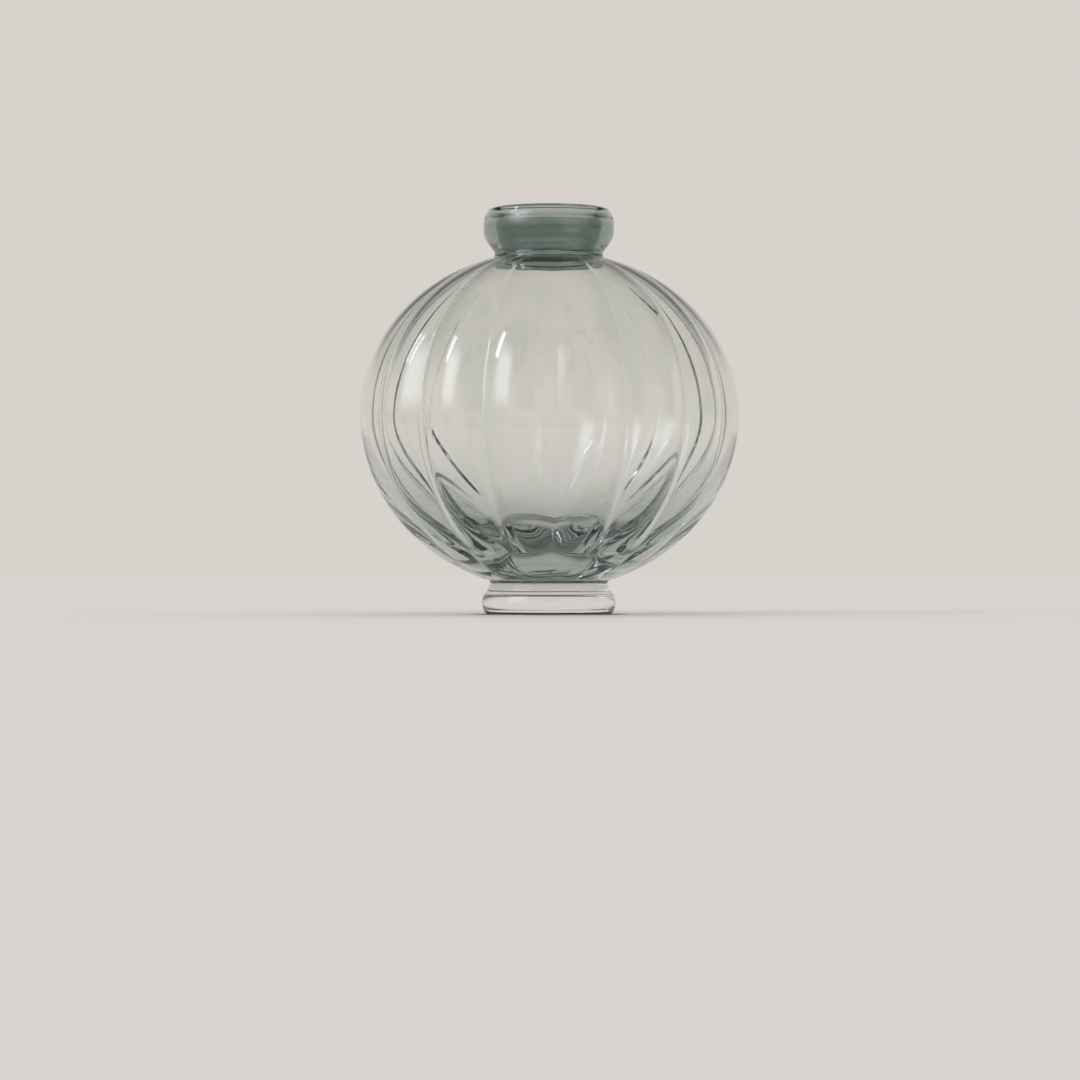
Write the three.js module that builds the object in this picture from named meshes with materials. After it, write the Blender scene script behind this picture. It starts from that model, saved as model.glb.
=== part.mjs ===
// Hand blown glass vase: a ribbed globe with a heavy base, a worked mouth collar and a clear foot.
// Millimetres, +Z up, origin on the standing plane at the axis of the vase.

import * as THREE from "three";

// Overall height, and the gap left where two gathers of glass are fused
const HEIGHT = 250;
const JOINT_GAP = 0.3;

// Heights of the joints and of the widest circle of the globe
const FOOT_JOINT_HEIGHT = 19.4;
const COLLAR_JOINT_HEIGHT = 219.6;
const EQUATOR_HEIGHT = 122.6;

// Globe: two half ellipses outside, two half ellipses inside
const GLOBE_RADIUS = 117.7;
const UPPER_HALF_HEIGHT = 101.6;
const LOWER_HALF_HEIGHT = 107.2;
const INNER_RADIUS = 114.7;
const INNER_UPPER_HALF_HEIGHT = 97.6;
const INNER_LOWER_HALF_HEIGHT = 85.6;
const BASE_RADIUS = 36.6;
const BASE_ROUNDING = 2;
const BORE_RADIUS = 28;
const BORE_LENGTH = 2;
const BORE_FLARE = 3;
const OUTER_STEPS = 11;
const INNER_STEPS = 8;

// Ribs blown into the globe by an optic mould: round crowns, creased grooves
const RIB_COUNT = 16;
const SEGMENTS_PER_RIB = 6;
const RIB_DEPTH = 0.05;
const RIB_FADE_POWER = 6;
const RIB_TURN = THREE.MathUtils.degToRad(-9);

// Mouth collar: knots of its outside, from the joint up to the lip, and of its inside, back down to the bore
const COLLAR_RADIUS = 40.4;
const LIP_RADIUS = 34.9;
const COLLAR_FOOT_RADIUS = 34.6;
const COLLAR_BOTTOM = COLLAR_JOINT_HEIGHT + JOINT_GAP;
const COLLAR_OUTSIDE = [
  [COLLAR_FOOT_RADIUS, COLLAR_BOTTOM],
  [33.5, 223.0],
  [38.0, 229.3],
  [COLLAR_RADIUS, 238.7],
  [38.6, 247.1],
  [LIP_RADIUS + 1.3, HEIGHT - 0.3],
];
const COLLAR_INSIDE = [
  [LIP_RADIUS - 3, HEIGHT - 0.3],
  [30.4, 247.8],
  [32.8, 240.2],
  [31.6, 233.2],
  [28.2, 226.2],
  [BORE_RADIUS, COLLAR_BOTTOM],
];
const COLLAR_STEPS = 14;
const COLLAR_SEGMENTS = 48;

// Foot: knots of its side, from the standing ring up to the joint
const FOOT_RADIUS = 41.1;
const FOOT_TOP = FOOT_JOINT_HEIGHT - JOINT_GAP;
const FOOT_SIDE = [
  [37.2, 0],
  [40.1, 2.6],
  [FOOT_RADIUS, 7.4],
  [38.3, 14.8],
  [36.4, FOOT_TOP],
];
const FOOT_STEPS = 12;
const FOOT_SEGMENTS = 48;

// Colours of the three gathers of glass
const SMOKE_GREEN = 0xb9c0b4;
const DEEP_TEAL = 0x5f786f;
const CLEAR = 0xe9ecea;
const POLISHED = 0.03;

function glass(colour, opacity) {
  return new THREE.MeshStandardMaterial({
    color: colour,
    roughness: POLISHED,
    metalness: 0,
    transparent: true,
    opacity,
  });
}

// Point of an ellipse centred on the axis at the equator's height, at a polar angle from the horizontal.
function ellipsePoint(radius, halfHeight, angle) {
  return new THREE.Vector2(
    radius * Math.cos(angle),
    EQUATOR_HEIGHT + halfHeight * Math.sin(angle),
  );
}

// Points along an ellipse between two polar angles, both ends included.
function ellipseArc(radius, halfHeight, from, to, steps) {
  return Array.from({ length: steps + 1 }, (_, step) =>
    ellipsePoint(radius, halfHeight, from + ((to - from) * step) / steps));
}

// Smooth curve through the knots of an outline, sampled evenly.
function smoothOutline(knots, steps) {
  const curve = new THREE.SplineCurve(knots.map(([r, z]) => new THREE.Vector2(r, z)));
  return curve.getPoints(steps);
}

// Round about the Z axis: the outline runs counter-clockwise in the (radius, height) half plane.
function turned(outline, segments) {
  const geometry = new THREE.LatheGeometry(outline, segments);
  geometry.rotateX(Math.PI / 2);
  return geometry;
}

// How far the globe's wall draws in at an angle from a rib's crown: none on the crown, all in a groove.
function grooveShare(angle) {
  return 1 - Math.abs(Math.cos((RIB_COUNT * angle) / 2));
}

// The ribs are full over the belly and run out close to the neck and to the base.
function ribFade(height) {
  const rise = height > EQUATOR_HEIGHT ? UPPER_HALF_HEIGHT : LOWER_HALF_HEIGHT;
  const share = Math.min(1, Math.abs(height - EQUATOR_HEIGHT) / rise);
  return 1 - Math.pow(share, RIB_FADE_POWER);
}

// Draws the wall of a turned globe in along its grooves, then turns its ribs into place.
function flute(geometry) {
  const position = geometry.getAttribute("position");
  for (let i = 0; i < position.count; i += 1) {
    const x = position.getX(i);
    const y = position.getY(i);
    const z = position.getZ(i);
    const scale = 1 - RIB_DEPTH * grooveShare(Math.atan2(x, -y)) * ribFade(z);
    position.setXYZ(i, x * scale, y * scale, z);
  }
  geometry.rotateZ(RIB_TURN);
  return geometry;
}

function ribbedBulb() {
  const lowerEnd = -Math.acos((BASE_RADIUS + BASE_ROUNDING) / GLOBE_RADIUS);
  const upperEnd = Math.asin((COLLAR_JOINT_HEIGHT - EQUATOR_HEIGHT) / UPPER_HALF_HEIGHT);
  const innerUpperEnd = Math.acos((BORE_RADIUS + BORE_FLARE) / INNER_RADIUS);
  const outline = [
    new THREE.Vector2(0, FOOT_JOINT_HEIGHT),
    new THREE.Vector2(BASE_RADIUS, FOOT_JOINT_HEIGHT),
    ...ellipseArc(GLOBE_RADIUS, LOWER_HALF_HEIGHT, lowerEnd, 0, OUTER_STEPS),
    ...ellipseArc(GLOBE_RADIUS, UPPER_HALF_HEIGHT, 0, upperEnd, OUTER_STEPS).slice(1),
    new THREE.Vector2(BORE_RADIUS, COLLAR_JOINT_HEIGHT),
    new THREE.Vector2(BORE_RADIUS, COLLAR_JOINT_HEIGHT - BORE_LENGTH),
    ...ellipseArc(INNER_RADIUS, INNER_UPPER_HALF_HEIGHT, innerUpperEnd, 0, INNER_STEPS),
    ...ellipseArc(INNER_RADIUS, INNER_LOWER_HALF_HEIGHT, 0, -Math.PI / 2, INNER_STEPS).slice(1, -1),
    new THREE.Vector2(0, EQUATOR_HEIGHT - INNER_LOWER_HALF_HEIGHT),
  ];
  return flute(turned(outline, RIB_COUNT * SEGMENTS_PER_RIB));
}

function mouthCollar() {
  const outer = smoothOutline(COLLAR_OUTSIDE, COLLAR_STEPS);
  const outline = [
    ...outer,
    new THREE.Vector2(LIP_RADIUS, HEIGHT),
    ...smoothOutline(COLLAR_INSIDE, COLLAR_STEPS),
    outer[0].clone(),
  ];
  return turned(outline, COLLAR_SEGMENTS);
}

function footDisc() {
  const outline = [
    new THREE.Vector2(0, 0),
    ...smoothOutline(FOOT_SIDE, FOOT_STEPS),
    new THREE.Vector2(0, FOOT_TOP),
  ];
  return turned(outline, FOOT_SEGMENTS);
}

function piece(name, geometry, material) {
  const mesh = new THREE.Mesh(geometry, material);
  mesh.name = name;
  return mesh;
}

const vase = new THREE.Group();
vase.add(piece("foot_disc", footDisc(), glass(CLEAR, 0.35)));
vase.add(piece("ribbed_bulb", ribbedBulb(), glass(SMOKE_GREEN, 0.45)));
vase.add(piece("mouth_collar", mouthCollar(), glass(DEEP_TEAL, 0.7)));

export default vase;
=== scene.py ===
"""A mouth-blown ribbed glass vase on a pale floor: thick teal collar, thin smoke-grey globe, clear foot.

Metres, +Z up, the axis of the vase on the Z axis and its foot standing on Z = 0.
"""
import math

import bpy
import numpy as np
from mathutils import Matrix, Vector


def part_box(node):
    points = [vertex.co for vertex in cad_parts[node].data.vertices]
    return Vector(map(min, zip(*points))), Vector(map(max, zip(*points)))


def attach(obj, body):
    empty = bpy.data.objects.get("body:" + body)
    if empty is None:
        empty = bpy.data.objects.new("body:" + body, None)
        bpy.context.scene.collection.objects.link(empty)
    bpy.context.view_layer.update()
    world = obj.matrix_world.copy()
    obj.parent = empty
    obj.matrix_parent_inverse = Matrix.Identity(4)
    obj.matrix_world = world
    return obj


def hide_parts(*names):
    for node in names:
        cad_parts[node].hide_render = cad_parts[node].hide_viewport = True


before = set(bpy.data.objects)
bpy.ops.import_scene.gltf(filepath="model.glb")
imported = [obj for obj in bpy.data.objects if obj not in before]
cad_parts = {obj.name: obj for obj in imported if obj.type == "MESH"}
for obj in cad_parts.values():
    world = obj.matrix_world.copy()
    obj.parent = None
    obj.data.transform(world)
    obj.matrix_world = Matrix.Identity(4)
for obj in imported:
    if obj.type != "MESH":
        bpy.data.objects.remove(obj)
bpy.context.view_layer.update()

MM = 0.001
TURN = 2 * math.pi

# Sizes that the frame gives
FOOT_RADIUS, _, FOOT_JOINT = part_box("foot_disc")[1]
GLOBE_REACH, _, COLLAR_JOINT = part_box("ribbed_bulb")[1]
COLLAR_RADIUS, _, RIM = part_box("mouth_collar")[1]

# How glass meets glass: a hair's gap at the fused seams
HAIR = 0.02 * MM

# A curve through two knots of the same radius swells this far beyond them
SWELL = 0.05 * MM

# The globe: two half ellipses outside, two inside, and the lowest point inside, over a heavy base
EQUATOR = 122.6 * MM
UPPER_RISE = 101.6 * MM
LOWER_RISE = 107.2 * MM
WALL = 2.6 * MM
GLOBE_FLOOR = 37.0 * MM

# Its base: radius, the turn up into the side (radius beyond the base's, height), and where the side begins
BASE = 36.6 * MM
BASE_TURN = [(-1.5 * MM, 0.0), (-0.2 * MM, 0.3 * MM), (0.2 * MM, 1.2 * MM)]
SIDE_START = 1.2 * MM

# Its bore: radius at the neck, and how far it flares and drops until it is the inside of the globe
BORE = 28.0 * MM
BORE_FLARE = 2.4 * MM
BORE_DROP = 1.4 * MM

# Its ribs: share of the radius that a groove is drawn in, how far its bottom is rounded, the powers by
# which ribs run out below and above, and the heights at which they start and are full on the inside
RIBS = 16
RIB_TURN = math.radians(-9.0)
RIB_DEPTH = 0.050
RIB_SOFT = 0.10
RIB_FADE = 6
NECK_FADE = 5
INNER_RIBS_START = 15 * MM
INNER_RIBS_FULL = 75 * MM
STEPS_PER_RIB = 20
CROWDING = 0.6

# The collar, a thick ring, by the knots (radius, height) of its side and of its mouth
SHOULDER_END = 34.6 * MM
LIP_TOP = 34.9 * MM
COLLAR_OUTSIDE = [
    (SHOULDER_END, COLLAR_JOINT + HAIR), (33.7 * MM, 221.2 * MM), (33.5 * MM, 223.2 * MM),
    (35.2 * MM, 225.7 * MM), (38.0 * MM, 229.3 * MM), (39.8 * MM, 233.0 * MM),
    (COLLAR_RADIUS - SWELL, 237.0 * MM), (COLLAR_RADIUS - SWELL, 240.5 * MM), (39.8 * MM, 244.2 * MM),
    (38.5 * MM, 247.2 * MM), (37.2 * MM, RIM - 0.6 * MM), (LIP_TOP, RIM)]
COLLAR_INSIDE = [
    (LIP_TOP, RIM), (33.2 * MM, RIM - 0.2 * MM), (31.4 * MM, RIM - 0.9 * MM), (30.4 * MM, 247.9 * MM),
    (30.9 * MM, 246.3 * MM), (32.0 * MM, 243.8 * MM), (32.8 * MM, 241.2 * MM), (32.9 * MM, 237.8 * MM),
    (31.8 * MM, 233.6 * MM), (29.6 * MM, 229.4 * MM), (28.1 * MM, 226.0 * MM), (27.9 * MM, 223.0 * MM),
    (BORE, COLLAR_JOINT + HAIR)]

# The foot, a solid disc ground a little hollow underneath, so it stands on its ring
HOLLOW = 0.8 * MM
STAND = 36.4 * MM
FOOT_TOP = BASE - 0.6 * MM
FOOT_SIDE = [
    (STAND, 0), (38.6 * MM, 0.5 * MM), (40.2 * MM, 2.4 * MM), (FOOT_RADIUS - SWELL, 5.4 * MM),
    (FOOT_RADIUS - SWELL, 9 * MM), (40.2 * MM, 12 * MM), (38.3 * MM, 14.4 * MM), (37.4 * MM, 16.6 * MM),
    (BASE, FOOT_JOINT - 0.6 * MM), (FOOT_TOP, FOOT_JOINT)]

# Steps round the axis for the collar and the foot
ROUND_STEPS = 192

# Glass: the skin's colour and that of its paler streaks, then colour and strength (per metre) of the
# absorption inside
GLASS_IOR = 1.5
CLEAR = ((0.965, 0.972, 0.97), (1.0, 1.0, 1.0), None, 0.0)
SMOKE = ((0.93, 0.951, 0.921), (1.0, 1.0, 0.995), (0.48, 0.60, 0.57), 10.0)
TEAL = ((0.31, 0.40, 0.375), (0.40, 0.465, 0.435), (0.36, 0.494, 0.485), 12.0)
LIP_TEAL = (0.74, 0.77, 0.76)
LIP_START = 238.0 * MM
STREAK_SCALE = 34.0
STREAK_STRETCH = 0.16
STREAK_DETAIL = 3
STREAK_RANGE = (0.3, 0.7)
RIPPLE_SCALE = 42.0
RIPPLE_DETAIL = 1
RIPPLE_HEIGHT = 0.05 * MM

# Unevenness of the blown walls: turns round the axis, radians per metre up and start of each wave, then
# the waves' share of the radius, and the marks of the tool inside the collar
WAVES = [(3, 31.0, 0.0), (5, -47.0, 1.0), (8, 23.0, 2.0)]
GLOBE_WAVE = 0.0022
COLLAR_WAVE = 0.004
TOOL_MARK_PITCH = 6.5 * MM
TOOL_MARK = 0.0022
MARKS_FADE = 4 * MM

# The room as the glass sees it: walls by the rise of the direction, from straight down to straight up
BACKDROP = (0.68, 0.645, 0.60)
ROOM_GLOW = (0.93, 0.885, 0.83)
STUDIO_STOPS = [
    (-1.0, (0.60, 0.57, 0.53)), (0.0, (0.67, 0.635, 0.59)), (0.24, (0.66, 0.63, 0.59)),
    (0.37, (0.34, 0.335, 0.32)), (0.50, (0.10, 0.105, 0.105)), (0.8, (0.05, 0.05, 0.05)),
    (1.0, (0.04, 0.04, 0.04))]

# Cards and windows: azimuth and elevation (degrees), half width and half height one unit away, softness
# of the edge, colour
CARDS = [
    (0, 8, 0.47, 0.60, 0.20, (0.16, 0.16, 0.16)),
    (90, 8, 0.36, 0.60, 0.20, (0.18, 0.18, 0.18)),
    (-58, 24, 0.40, 0.44, 0.24, (2.8, 2.9, 3.05)),
    (-80, 40, 0.06, 0.17, 0.03, (7.0, 7.4, 8.0))]

# A card is only seen ahead: least share of a direction that points at it, and least divisor
LEAST_AHEAD = 0.01
LEAST_DEPTH = 1e-4

# The floor: pale, with a painted contact shadow, a dark ring round the foot, and a painted pool of light, a
# little more glow under it
FLOOR_RADIUS = 12.0
FLOOR_STEPS = 128
FLOOR_COLOUR = (0.42, 0.405, 0.40)
FLOOR_GLOW = (0.28, 0.272, 0.262)
PAINTED_SHADOW_COLOUR = (0.13, 0.126, 0.122)
SHADE_INSIDE = (18 * MM, 30 * MM)
SHADE_OUTSIDE = (36 * MM, 58 * MM)
PAINTED_POOL_GLOW = 1.35
PAINTED_SHADOW_GLOW = 0.12

# Camera: level with the foot, two metres away, looking slightly up; lens and sensor in millimetres
CAMERA_PLACE = (0.0, -2.03, 28 * MM)
CAMERA_TARGET = (-5.4 * MM, 0.0, 45.8 * MM)
CAMERA_LENS = 109.7
CAMERA_SENSOR = 36
CAMERA_CLIP = (0.01, 100)

# How often light may turn on its way through the glass
BOUNCES = 32
GLOSSY_BOUNCES = 12

# Nearer to the axis than this, an outline's end is on it
ON_AXIS = 1e-9


def arc(radius, height, middle, start, end, count):
    """Ellipse arc about (0, middle): (radius cos a, middle + height sin a), a from start to end."""
    a = np.linspace(start, end, count)
    return np.stack([radius * np.cos(a), middle + height * np.sin(a)], axis=1)


def spline(knots, count):
    """Catmull-Rom curve through the knots (radius, height), sampled evenly in its own parameter."""
    p = np.asarray(knots, dtype=float)
    p = np.vstack([2 * p[0] - p[1], p, 2 * p[-1] - p[-2]])
    t = np.linspace(0, len(p) - 3, count)
    i = np.minimum(t.astype(int), len(p) - 4)
    f = (t - i)[:, None]
    a, b, c, d = p[i], p[i + 1], p[i + 2], p[i + 3]
    square, cube = 2 * a - 5 * b + 4 * c - d, 3 * b - a - 3 * c + d
    return 0.5 * (2 * b + (c - a) * f + square * f**2 + cube * f**3)


def line(start, end, count):
    """Straight stretch of an outline."""
    return np.linspace(start, end, count)


def lobes(angle):
    """Draw-in of a ribbed wall, 1 - |cos(n a / 2)| with a soft groove: 0 on a crown, 1 in a groove."""
    c = np.cos(RIBS * (angle - RIB_TURN) / 2)
    return 1 - (np.sqrt(c**2 + RIB_SOFT**2) - RIB_SOFT) / (math.hypot(1, RIB_SOFT) - RIB_SOFT)


def rib_angles():
    """Even angles crowded towards the grooves: a + (k / n) sin(n a), counted from a crown."""
    a = np.arange(RIBS * STEPS_PER_RIB) * TURN / (RIBS * STEPS_PER_RIB)
    return RIB_TURN + a + CROWDING / RIBS * np.sin(RIBS * a)


def belly_share(z):
    """How deep the ribs are at z: 1 at the equator, 1 - t^p above and below it.

    t is the share of the way up to the collar, or down the lower half ellipse; p is NECK_FADE or RIB_FADE.
    """
    high = z > EQUATOR
    t = np.clip(np.abs(z - EQUATOR) / np.where(high, COLLAR_JOINT - EQUATOR, LOWER_RISE), 0, 1)
    return 1 - t ** np.where(high, NECK_FADE, RIB_FADE)


def turned(name, outline, relief, angles, seams):
    """A closed skin: the outline (radius, height) carried round the axis.

    A point at angle a is (r s cos a, r s sin a, z), where s = relief(a, z, index) and index counts the
    points that are carried round. An outline that starts and ends on the axis is closed by two poles, any
    other by its own last stretch. seams are pairs of outline indices between which the skin is fused.
    """
    outline = np.asarray(outline)
    poles = abs(outline[0, 0]) < ON_AXIS
    body = outline[1:-1] if poles else outline
    count, steps = len(body), len(angles)
    a = angles[:, None]
    r, z = body[:, 0], body[:, 1]
    s = relief(a, np.broadcast_to(z, (steps, count)), np.arange(count)[None, :])
    grid = np.stack([r * s * np.cos(a), r * s * np.sin(a), np.broadcast_to(z, s.shape)], axis=2)
    points = grid.reshape(-1, 3)

    # Quads between each step and the next; stretch says which part of the outline a face belongs to
    here = np.arange(steps)[:, None] * count
    there = np.roll(here, -1, axis=0)
    j = np.arange(count - 1 if poles else count)[None, :]
    k = (j + 1) % count
    quads = np.stack([here + j, there + j, there + k, here + k], axis=2).reshape(-1, 4)
    stretch = np.broadcast_to(j + poles, (steps, j.shape[1])).ravel()
    tris = np.zeros((0, 3), dtype=int)
    if poles:
        low, high = len(points), len(points) + 1
        points = np.vstack([points, [0, 0, outline[0, 1]], [0, 0, outline[-1, 1]]])
        first = np.stack([np.full(steps, low), there[:, 0], here[:, 0]], axis=1)
        last = np.stack([np.full(steps, high), here[:, 0] + count - 1, there[:, 0] + count - 1], axis=1)
        tris = np.vstack([first, last])
        stretch = np.concatenate([stretch, np.zeros(steps), np.full(steps, count)])
    seam = np.zeros(len(stretch))
    for start, end in seams:
        seam[(stretch >= start) & (stretch < end)] = 1
    return skin_of(name, points, quads, tris, seam)


def skin_of(name, points, quads, tris, seam):
    """A smooth mesh of quads and triangles; its face attribute seam is 1 where glass is fused to glass."""
    mesh = bpy.data.meshes.new(name)
    mesh.vertices.add(len(points))
    mesh.vertices.foreach_set("co", points.ravel())
    mesh.loops.add(quads.size + tris.size)
    mesh.loops.foreach_set("vertex_index", np.concatenate([quads.ravel(), tris.ravel()]))
    sizes = np.concatenate([np.full(len(quads), 4), np.full(len(tris), 3)])
    mesh.polygons.add(len(sizes))
    mesh.polygons.foreach_set("loop_start", np.concatenate([[0], np.cumsum(sizes)[:-1]]))
    mesh.polygons.foreach_set("use_smooth", np.ones(len(sizes), dtype=bool))
    mesh.attributes.new("seam", "FLOAT", "FACE").data.foreach_set("value", seam)
    mesh.update()
    mesh.validate()
    piece = bpy.data.objects.new(name, mesh)
    bpy.context.scene.collection.objects.link(piece)
    return piece


def even_angles(steps):
    """Even steps round the axis."""
    return np.arange(steps) * TURN / steps


def plain(a, z, index):
    """No relief."""
    return np.ones_like(a * z)


def waves(a, z):
    """Unevenness between -1 and 1: the mean of sin(turns a + climb z + start) over the waves."""
    return sum(np.sin(turns * a + climb * z + start) for turns, climb, start in WAVES) / len(WAVES)


def globe_outline():
    """Base disc, outer half ellipses, joint ring, then the inner wall down to the heavy base.

    The crown radius is the frame's reach along X divided by the greatest (1 - depth lobes(a)) cos a. With
    the outline come its two seams and the index where its inside begins.
    """
    low, top = FOOT_JOINT + HAIR, COLLAR_JOINT
    a = rib_angles()
    radius = GLOBE_REACH / np.max((1 - RIB_DEPTH * lobes(a)) * np.cos(a))
    side_start = -math.acos((BASE + SIDE_START) / radius)
    side_end = math.asin((top - EQUATOR) / UPPER_RISE)
    inner_radius = radius - WALL
    inner_end = math.acos((BORE + BORE_FLARE) / inner_radius)
    turn = [(BASE + out, low + up) for out, up in BASE_TURN]
    disc = line((0, low), turn[0], count=6)
    fillet = spline(turn, count=6)[1:]
    lower = arc(radius, LOWER_RISE, EQUATOR, side_start, 0, count=64)
    upper = arc(radius, UPPER_RISE, EQUATOR, 0, side_end, count=64)[1:]
    ring = line((radius * math.cos(side_end), top), (BORE, top), count=5)[1:]
    inner_top = arc(inner_radius, UPPER_RISE - WALL, EQUATOR, inner_end, 0, count=52)
    bore = spline([(BORE, top), (BORE, top - BORE_DROP), tuple(inner_top[0])], count=7)[1:-1]
    inner_low = arc(inner_radius, EQUATOR - GLOBE_FLOOR, EQUATOR, 0, -math.pi / 2, count=70)[1:]
    parts = [disc, fillet, lower, upper, ring, bore, inner_top, inner_low]
    outline = np.vstack(parts)
    outline[-1, 0] = 0
    counts = np.cumsum([len(p) for p in parts])
    disc_seam, ring_seam = (0, counts[0] - 1), (counts[3] - 1, counts[4] - 1)
    return outline, disc_seam, ring_seam, counts[4]


def globe():
    """Ribs and waves: s = 1 - depth lobes(a) share(z), and on the inside + size waves(a, z) share(z).

    Inside, the ribs run out towards the heavy base, by a smooth step between INNER_RIBS_START and _FULL.
    """
    outline, disc_seam, ring_seam, inside_start = globe_outline()

    def relief(a, z, index):
        t = np.clip((z - INNER_RIBS_START) / (INNER_RIBS_FULL - INNER_RIBS_START), 0, 1)
        inside = index >= inside_start
        depth = RIB_DEPTH * np.where(inside, t * t * (3 - 2 * t), 1)
        return 1 - depth * lobes(a) * belly_share(z) + GLOBE_WAVE * waves(a, z) * inside * belly_share(z)

    return turned("globe", outline, relief, rib_angles(), [disc_seam, ring_seam])


def collar():
    """Thick ring with a bulging side and a rounded lip.

    Inside, s = 1 + size waves(a, z) + mark sin(2 pi z / pitch), fading out at the rim and at the joint.
    """
    low = COLLAR_JOINT + HAIR
    outer = spline(COLLAR_OUTSIDE, count=96)
    inner = spline(COLLAR_INSIDE, count=96)[1:]
    ring = line((BORE, low), (SHOULDER_END, low), count=5)[1:-1]
    outline = np.vstack([outer, inner, ring])
    seam = (len(outer) + len(inner) - 1, len(outline))

    def relief(a, z, index):
        inside = (index >= len(outer)) & (index < seam[0])
        fade = np.clip(np.minimum(RIM - z, z - low) / MARKS_FADE, 0, 1) * inside
        return 1 + fade * (COLLAR_WAVE * waves(a, z) + TOOL_MARK * np.sin(TURN * z / TOOL_MARK_PITCH))

    return turned("collar", outline, relief, even_angles(ROUND_STEPS), [seam])


def foot():
    """Solid disc with a rounded side, drawn in to the globe's base.

    Underneath it is hollow by depth sqrt(cos(pi r / (2 R))), where it stands on a ring of radius R.
    """
    side = spline(FOOT_SIDE, count=90)
    r = np.linspace(0, STAND, 24)
    under = np.stack([r, HOLLOW * np.cos(r / STAND * math.pi / 2) ** 0.5], axis=1)[:-1]
    over = line((FOOT_TOP, FOOT_JOINT), (0, FOOT_JOINT), count=8)[1:]
    outline = np.vstack([under, side, over])
    seam = (len(under) + len(side) - 1, len(outline) - 1)
    return turned("foot", outline, plain, even_angles(ROUND_STEPS), [seam])


def glass(name, skin, pale, tint, density, lip=None):
    """Fire-polished glass with drawn-out streaks of paler skin; at its fused seams light goes straight on.

    The skin is noise between skin and pale, stretched along the axis, and turns to lip at the rim. A second
    noise is a shallow ripple of the surface.
    """
    material = bpy.data.materials.new(name)
    material.use_nodes = True
    nt = material.node_tree
    shader = nt.nodes["Principled BSDF"]
    shader.inputs["Base Color"].default_value = (*skin, 1)
    shader.inputs["Roughness"].default_value = 0.0
    shader.inputs["Transmission Weight"].default_value = 1.0
    seam = nt.nodes.new("ShaderNodeAttribute")
    seam.attribute_name = "seam"
    index = nt.nodes.new("ShaderNodeMapRange")
    index.inputs["To Min"].default_value = GLASS_IOR
    index.inputs["To Max"].default_value = 1.0
    nt.links.new(seam.outputs["Fac"], index.inputs["Value"])
    nt.links.new(index.outputs["Result"], shader.inputs["IOR"])
    place = nt.nodes.new("ShaderNodeTexCoord").outputs["Object"]
    drawn = nt.nodes.new("ShaderNodeMapping")
    drawn.inputs["Scale"].default_value = (1, 1, STREAK_STRETCH)
    nt.links.new(place, drawn.inputs["Vector"])
    streaks = noise(nt, drawn.outputs["Vector"], STREAK_SCALE, STREAK_DETAIL)
    colour = mixed(nt, ranged(nt, streaks, *STREAK_RANGE), skin, pale)
    if lip:
        split = nt.nodes.new("ShaderNodeSeparateXYZ")
        nt.links.new(place, split.inputs[0])
        colour = mixed(nt, ranged(nt, split.outputs["Z"], LIP_START, RIM), colour, lip)
    nt.links.new(colour, shader.inputs["Base Color"])
    bump = nt.nodes.new("ShaderNodeBump")
    bump.inputs["Distance"].default_value = RIPPLE_HEIGHT
    nt.links.new(noise(nt, place, RIPPLE_SCALE, RIPPLE_DETAIL), bump.inputs["Height"])
    nt.links.new(bump.outputs["Normal"], shader.inputs["Normal"])
    if tint:
        depth = nt.nodes.new("ShaderNodeVolumeAbsorption")
        depth.inputs["Color"].default_value = (*tint, 1)
        depth.inputs["Density"].default_value = density
        nt.links.new(depth.outputs["Volume"], nt.nodes["Material Output"].inputs["Volume"])
    return material


def noise(nt, place, scale, detail):
    """Noise between 0 and 1 at a place, with about as many swells to the metre as scale says."""
    node = nt.nodes.new("ShaderNodeTexNoise")
    node.inputs["Scale"].default_value = scale
    node.inputs["Detail"].default_value = detail
    nt.links.new(place, node.inputs["Vector"])
    return node.outputs["Fac"]


def ranged(nt, value, low, high):
    """0 at low and below, 1 at high and above, smooth between."""
    node = nt.nodes.new("ShaderNodeMapRange")
    node.interpolation_type = "SMOOTHSTEP"
    node.inputs["From Min"].default_value = low
    node.inputs["From Max"].default_value = high
    nt.links.new(value, node.inputs["Value"])
    return node.outputs["Result"]


def mixed(nt, factor, under, over):
    """Colour between under and over; each is a socket or a plain colour."""
    mix = nt.nodes.new("ShaderNodeMix")
    mix.data_type = "RGBA"
    colours = [s for s in mix.inputs if s.type == "RGBA"]
    for socket, value in zip(colours, (under, over)):
        if isinstance(value, tuple):
            socket.default_value = (*value, 1)
        else:
            nt.links.new(value, socket)
    nt.links.new(factor, mix.inputs["Factor"])
    return [s for s in mix.outputs if s.type == "RGBA"][0]


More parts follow.
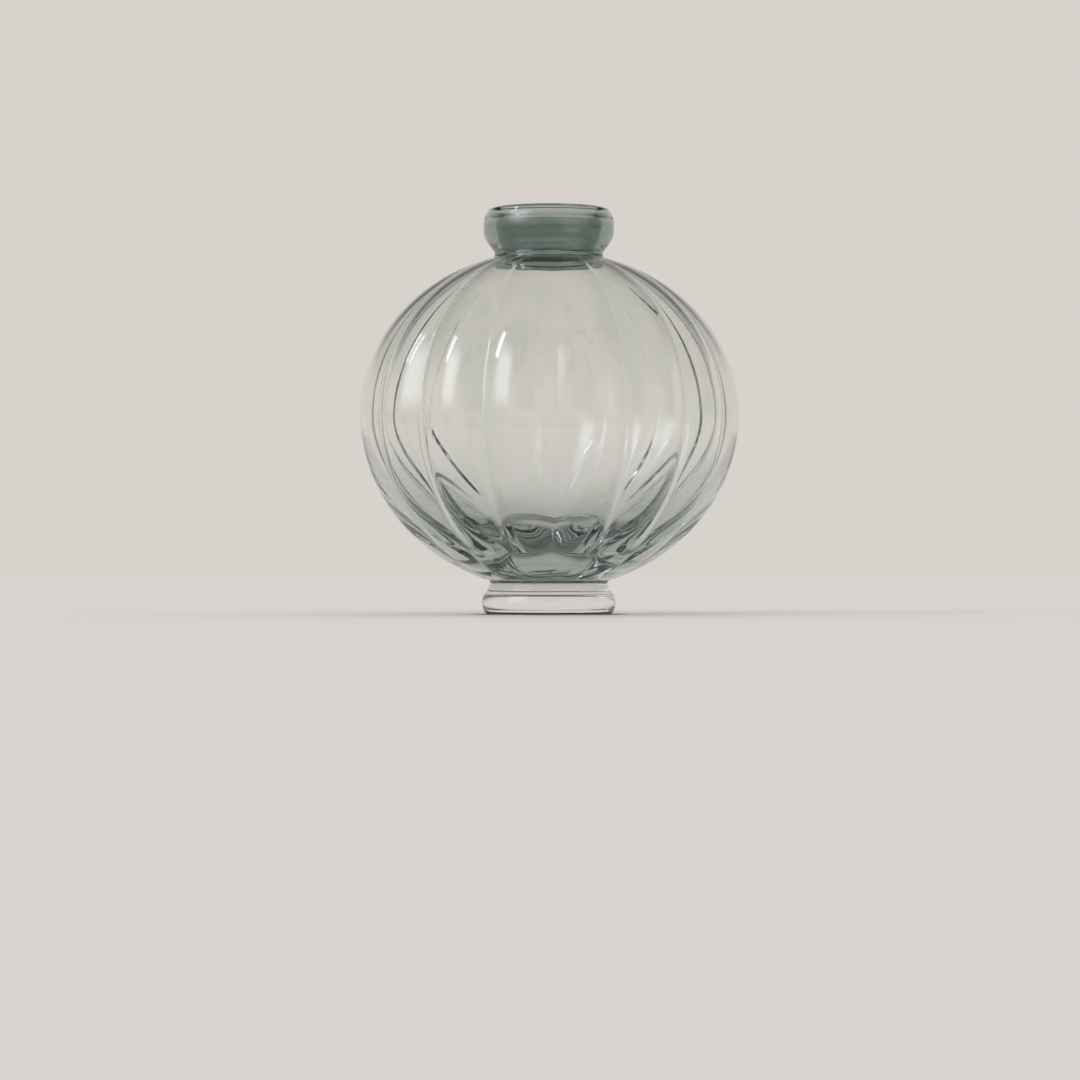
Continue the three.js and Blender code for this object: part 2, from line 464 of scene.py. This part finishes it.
def studio():
    """What the glass sees: pale walls, a dark ceiling, cards and windows.

    The floor gets an even light instead, and straight behind the vase stands a plain backdrop.
    """
    world = bpy.data.worlds.new("studio")
    bpy.context.scene.world = world
    world.use_nodes = True
    nt = world.node_tree
    way = nt.nodes.new("ShaderNodeTexCoord").outputs["Generated"]
    split = nt.nodes.new("ShaderNodeSeparateXYZ")
    nt.links.new(way, split.inputs[0])
    height = nt.nodes.new("ShaderNodeMapRange")
    height.inputs["From Min"].default_value = -1
    nt.links.new(split.outputs["Z"], height.inputs["Value"])
    ramp = nt.nodes.new("ShaderNodeValToRGB")
    nt.links.new(height.outputs["Result"], ramp.inputs["Fac"])
    keys = ramp.color_ramp.elements
    keys[0].position, keys[1].position = 0.0, 1.0
    keys[0].color, keys[1].color = (*STUDIO_STOPS[0][1], 1), (*STUDIO_STOPS[-1][1], 1)
    for rise, colour in STUDIO_STOPS[1:-1]:
        keys.new((rise + 1) / 2).color = (*colour, 1)
    seen = ramp.outputs["Color"]
    for azimuth, elevation, half_width, half_height, softness, colour in CARDS:
        seen = mixed(nt, card(nt, way, azimuth, elevation, half_width, half_height, softness), seen, colour)
    ray = nt.nodes.new("ShaderNodeLightPath")
    seen = mixed(nt, ray.outputs["Is Diffuse Ray"], seen, ROOM_GLOW)
    seen = mixed(nt, ray.outputs["Is Camera Ray"], seen, BACKDROP)
    nt.links.new(seen, nt.nodes["Background"].inputs["Color"])


def card(nt, way, azimuth, elevation, half_width, half_height, softness):
    """Mask of a rectangle on the plane one unit away, straight across the direction d0 of its centre.

    With u and v the sideways and upward unit vectors across d0, a direction d is inside where
    |d.u / d.d0| < half_width and |d.v / d.d0| < half_height, fading in over softness. Azimuth 0 is -Y.
    """
    a, e = math.radians(azimuth), math.radians(elevation)
    ahead = Vector((math.sin(a) * math.cos(e), -math.cos(a) * math.cos(e), math.sin(e)))
    across = Vector((math.cos(a), math.sin(a), 0))
    upward = across.cross(ahead)

    def along(axis):
        """d . axis, the part of the direction that points along an axis."""
        node = nt.nodes.new("ShaderNodeVectorMath")
        node.operation = "DOT_PRODUCT"
        node.inputs[1].default_value = axis
        nt.links.new(way, node.inputs[0])
        return node.outputs["Value"]

    def arithmetic(operation, first, second=None, clamp=False):
        """One step of arithmetic between sockets and numbers."""
        node = nt.nodes.new("ShaderNodeMath")
        node.operation = operation
        node.use_clamp = clamp
        for socket, value in zip(node.inputs, (first, second)):
            if isinstance(value, (int, float)):
                socket.default_value = value
            elif value:
                nt.links.new(value, socket)
        return node.outputs[0]

    depth = arithmetic("MAXIMUM", along(ahead), LEAST_DEPTH)
    mask = arithmetic("GREATER_THAN", along(ahead), LEAST_AHEAD)
    for axis, half in ((across, half_width), (upward, half_height)):
        aside = arithmetic("ABSOLUTE", arithmetic("DIVIDE", along(axis), depth))
        edge = arithmetic("DIVIDE", arithmetic("SUBTRACT", half, aside), softness, clamp=True)
        mask = arithmetic("MULTIPLY", mask, edge)
    return mask


def floor():
    """A wide pale disc with a glow of its own, and painted light and shade round the foot.

    By the distance from the axis it has its own colour and more glow, a painted pool of light, up to
    SHADE_INSIDE, is dark and nearly without glow, a painted contact shadow, from there to SHADE_OUTSIDE,
    and is plain beyond; each change is a smooth step.
    """
    a = even_angles(FLOOR_STEPS)
    rim = np.stack([FLOOR_RADIUS * np.cos(a), FLOOR_RADIUS * np.sin(a), np.zeros_like(a)], axis=1)
    mesh = bpy.data.meshes.new("floor")
    mesh.from_pydata(rim.tolist(), [], [list(range(len(a)))])
    ob = bpy.data.objects.new("floor", mesh)
    bpy.context.scene.collection.objects.link(ob)
    material = bpy.data.materials.new("pale_floor")
    material.use_nodes = True
    nt = material.node_tree
    shader = nt.nodes["Principled BSDF"]
    shader.inputs["Roughness"].default_value = 1.0
    shader.inputs["Specular IOR Level"].default_value = 0.0
    place = nt.nodes.new("ShaderNodeTexCoord")
    away = nt.nodes.new("ShaderNodeVectorMath")
    away.operation = "LENGTH"
    nt.links.new(place.outputs["Object"], away.inputs[0])
    # Painted light and shade: more glow under the foot is a painted pool of light, and the dark ring round
    # it is a painted contact shadow
    under = ranged(nt, away.outputs["Value"], *SHADE_INSIDE)
    outside = ranged(nt, away.outputs["Value"], *SHADE_OUTSIDE)
    painted_pool_glow = tuple(PAINTED_POOL_GLOW * c for c in FLOOR_GLOW)
    painted_shadow_glow = tuple(PAINTED_SHADOW_GLOW * c for c in FLOOR_GLOW)
    colour = mixed(nt, under, FLOOR_COLOUR, PAINTED_SHADOW_COLOUR)
    glow = mixed(nt, under, painted_pool_glow, painted_shadow_glow)
    nt.links.new(mixed(nt, outside, colour, FLOOR_COLOUR), shader.inputs["Base Color"])
    nt.links.new(mixed(nt, outside, glow, FLOOR_GLOW), shader.inputs["Emission Color"])
    shader.inputs["Emission Strength"].default_value = 1.0
    mesh.materials.append(material)


def camera():
    """A long lens looking from its place at its target, without shift or depth of field."""
    data = bpy.data.cameras.new("camera")
    data.sensor_width = CAMERA_SENSOR
    data.lens = CAMERA_LENS
    data.clip_start, data.clip_end = CAMERA_CLIP
    ob = bpy.data.objects.new("camera", data)
    bpy.context.scene.collection.objects.link(ob)
    place, target = Vector(CAMERA_PLACE), Vector(CAMERA_TARGET)
    ob.location = place
    ob.rotation_euler = (target - place).to_track_quat("-Z", "Y").to_euler()
    bpy.context.scene.camera = ob


def finish_piece(piece, node, material):
    """Give a piece its glass, hang it on the body it rides, and hide the node it replaces."""
    piece.data.materials.append(material)
    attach(piece, "root")
    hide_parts(node)


finish_piece(foot(), "foot_disc", glass("clear_glass", *CLEAR))
finish_piece(globe(), "ribbed_bulb", glass("smoke_glass", *SMOKE))
finish_piece(collar(), "mouth_collar", glass("teal_glass", *TEAL, LIP_TEAL))
floor()
studio()
camera()

scene = bpy.context.scene
scene.view_settings.view_transform = "Standard"
scene.cycles.max_bounces = BOUNCES
scene.cycles.transmission_bounces = BOUNCES
scene.cycles.glossy_bounces = GLOSSY_BOUNCES
scene.cycles.transparent_max_bounces = BOUNCES
